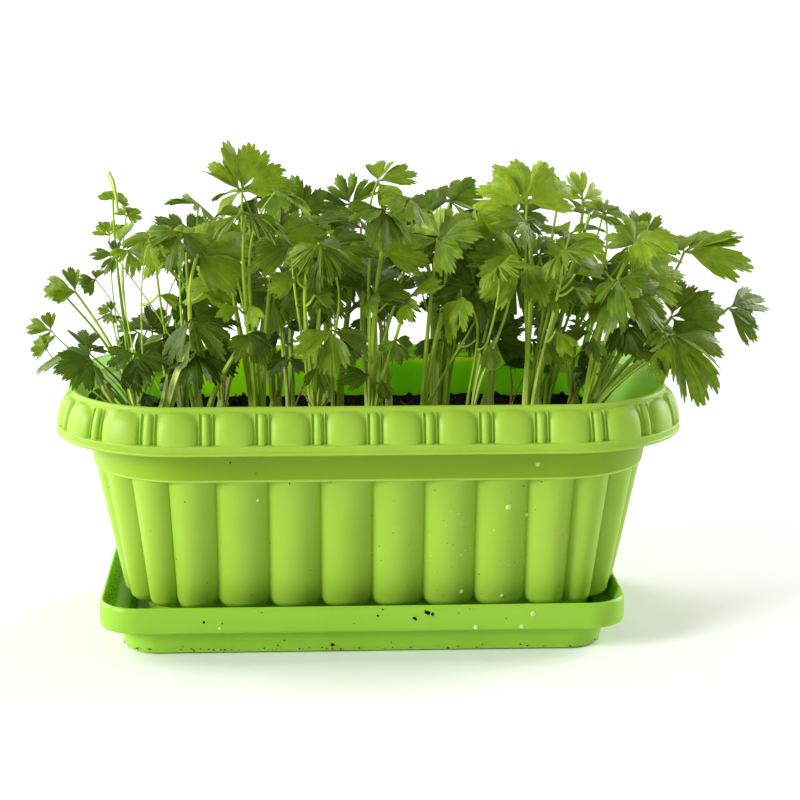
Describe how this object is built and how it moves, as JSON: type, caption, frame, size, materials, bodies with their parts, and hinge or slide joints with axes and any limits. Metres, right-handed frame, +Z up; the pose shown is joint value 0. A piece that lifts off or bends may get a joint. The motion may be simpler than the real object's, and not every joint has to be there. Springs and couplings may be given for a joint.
{
  "type": "potted celery seedlings in a window-box planter",
  "caption": "Young celery plants crowded in a fluted plastic trough planter with an egg-and-dart rim and a drip tray.",
  "frame": {"origin": "on the tray's flat underside, straight below the middle of the trough", "axes": "+Z up, X along the trough, -Y towards the long side that faces the viewer"},
  "size_m": [0.4953, 0.22, 0.319],
  "materials": {
    "pot": "satin lime-green moulded plastic",
    "tray": "satin lime-green moulded plastic",
    "soil": null,
    "leaf": null
  },
  "bodies": {
    "root": {"trough": "pot", "drip_tray": "tray", "soil": "soil", "seedling_01": "leaf", "seedling_02": "leaf", "seedling_03": "leaf", "seedling_04": "leaf", "seedling_05": "leaf", "seedling_06": "leaf", "seedling_07": "leaf", "seedling_08": "leaf", "seedling_09": "leaf", "seedling_10": "leaf", "seedling_11": "leaf", "seedling_12": "leaf", "seedling_13": "leaf", "seedling_14": "leaf", "seedling_15": "leaf", "seedling_16": "leaf", "seedling_17": "leaf", "seedling_18": "leaf", "seedling_19": "leaf", "seedling_20": "leaf", "seedling_21": "leaf", "seedling_22": "leaf", "seedling_23": "leaf", "seedling_24": "leaf", "seedling_25": "leaf", "seedling_26": "leaf", "seedling_27": "leaf"}
  },
  "joints": []
}
